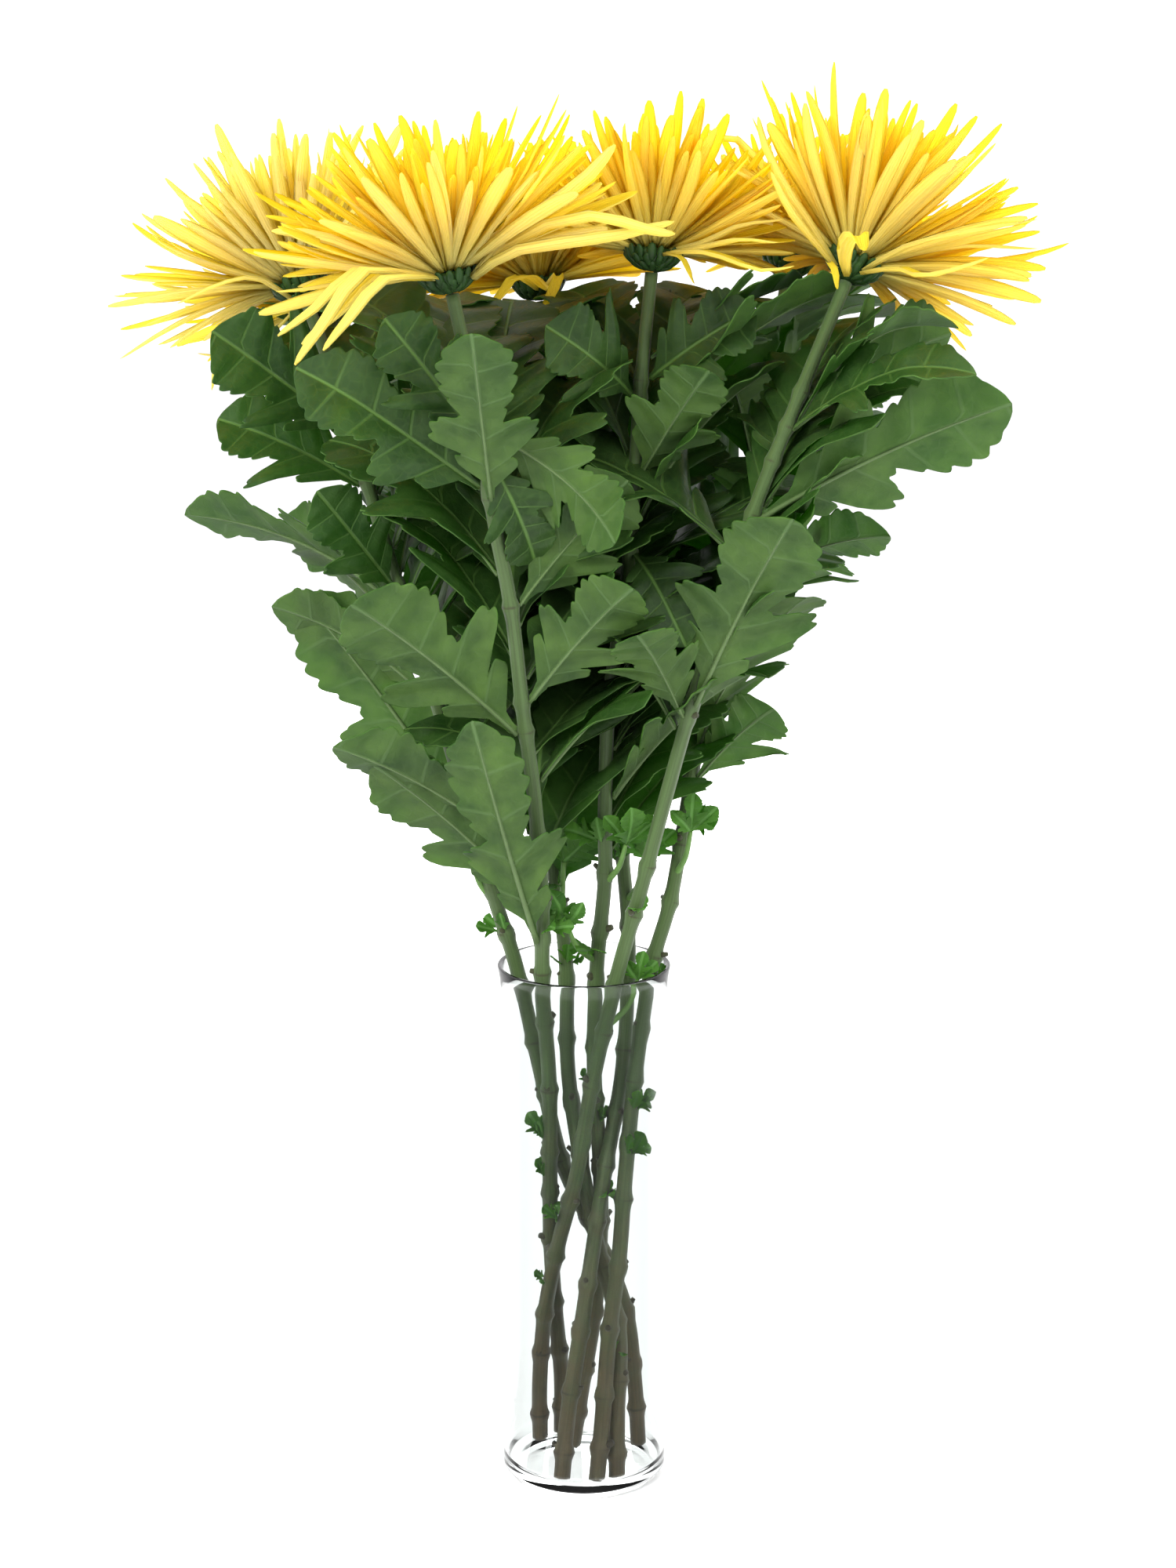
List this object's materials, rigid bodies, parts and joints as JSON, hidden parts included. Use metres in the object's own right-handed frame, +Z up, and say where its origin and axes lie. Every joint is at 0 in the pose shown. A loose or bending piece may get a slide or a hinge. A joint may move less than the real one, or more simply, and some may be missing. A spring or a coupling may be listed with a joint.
{
  "type": "bunch of spider chrysanthemums in a glass vase",
  "caption": "Leafy cut stems of yellow spider chrysanthemums, standing in a clear glass cylinder vase.",
  "frame": {"origin": "middle of the vase's underside", "axes": "+Z up along the vase, -Y the front that the picture shows, +X to the right as seen from the front"},
  "size_m": [0.4052, 0.3334, 0.6885],
  "materials": {
    "clear_glass": "gloss",
    "green_stem": "matte",
    "green_calyx": "matte",
    "green_leaf": "matte",
    "yellow_floret": "matte"
  },
  "bodies": {
    "root": {"calyx_back_left": "green_calyx", "calyx_back_middle": "green_calyx", "calyx_back_right": "green_calyx", "calyx_front_left": "green_calyx", "calyx_left": "green_calyx", "calyx_middle": "green_calyx", "calyx_right": "green_calyx", "florets_back_left": "yellow_floret", "florets_back_middle": "yellow_floret", "florets_back_right": "yellow_floret", "florets_front_left": "yellow_floret", "florets_left": "yellow_floret", "florets_middle": "yellow_floret", "florets_right": "yellow_floret", "leaf_back_left_1": "green_leaf", "leaf_back_left_2": "green_leaf", "leaf_back_left_3": "green_leaf", "leaf_back_left_4": "green_leaf", "leaf_back_middle_1": "green_leaf", "leaf_back_middle_2": "green_leaf", "leaf_back_middle_3": "green_leaf", "leaf_back_middle_4": "green_leaf", "leaf_back_right_1": "green_leaf", "leaf_back_right_2": "green_leaf", "leaf_back_right_3": "green_leaf", "leaf_back_right_4": "green_leaf", "leaf_back_right_5": "green_leaf", "leaf_front_left_1": "green_leaf", "leaf_front_left_2": "green_leaf", "leaf_front_left_3": "green_leaf", "leaf_front_left_4": "green_leaf", "leaf_front_left_5": "green_leaf", "leaf_front_left_6": "green_leaf", "leaf_front_left_7": "green_leaf", "leaf_front_left_8": "green_leaf", "leaf_front_left_9": "green_leaf", "leaf_left_1": "green_leaf", "leaf_left_2": "green_leaf", "leaf_left_3": "green_leaf", "leaf_left_4": "green_leaf", "leaf_left_5": "green_leaf", "leaf_left_6": "green_leaf", "leaf_middle_1": "green_leaf", "leaf_middle_2": "green_leaf", "leaf_middle_3": "green_leaf", "leaf_middle_4": "green_leaf", "leaf_right_1": "green_leaf", "leaf_right_2": "green_leaf", "leaf_right_3": "green_leaf", "leaf_right_4": "green_leaf", "leaf_right_5": "green_leaf", "leaf_right_6": "green_leaf", "stem_back_left": "green_stem", "stem_back_middle": "green_stem", "stem_back_right": "green_stem", "stem_front_left": "green_stem", "stem_left": "green_stem", "stem_middle": "green_stem", "stem_right": "green_stem", "vase": "clear_glass"}
  },
  "joints": []
}
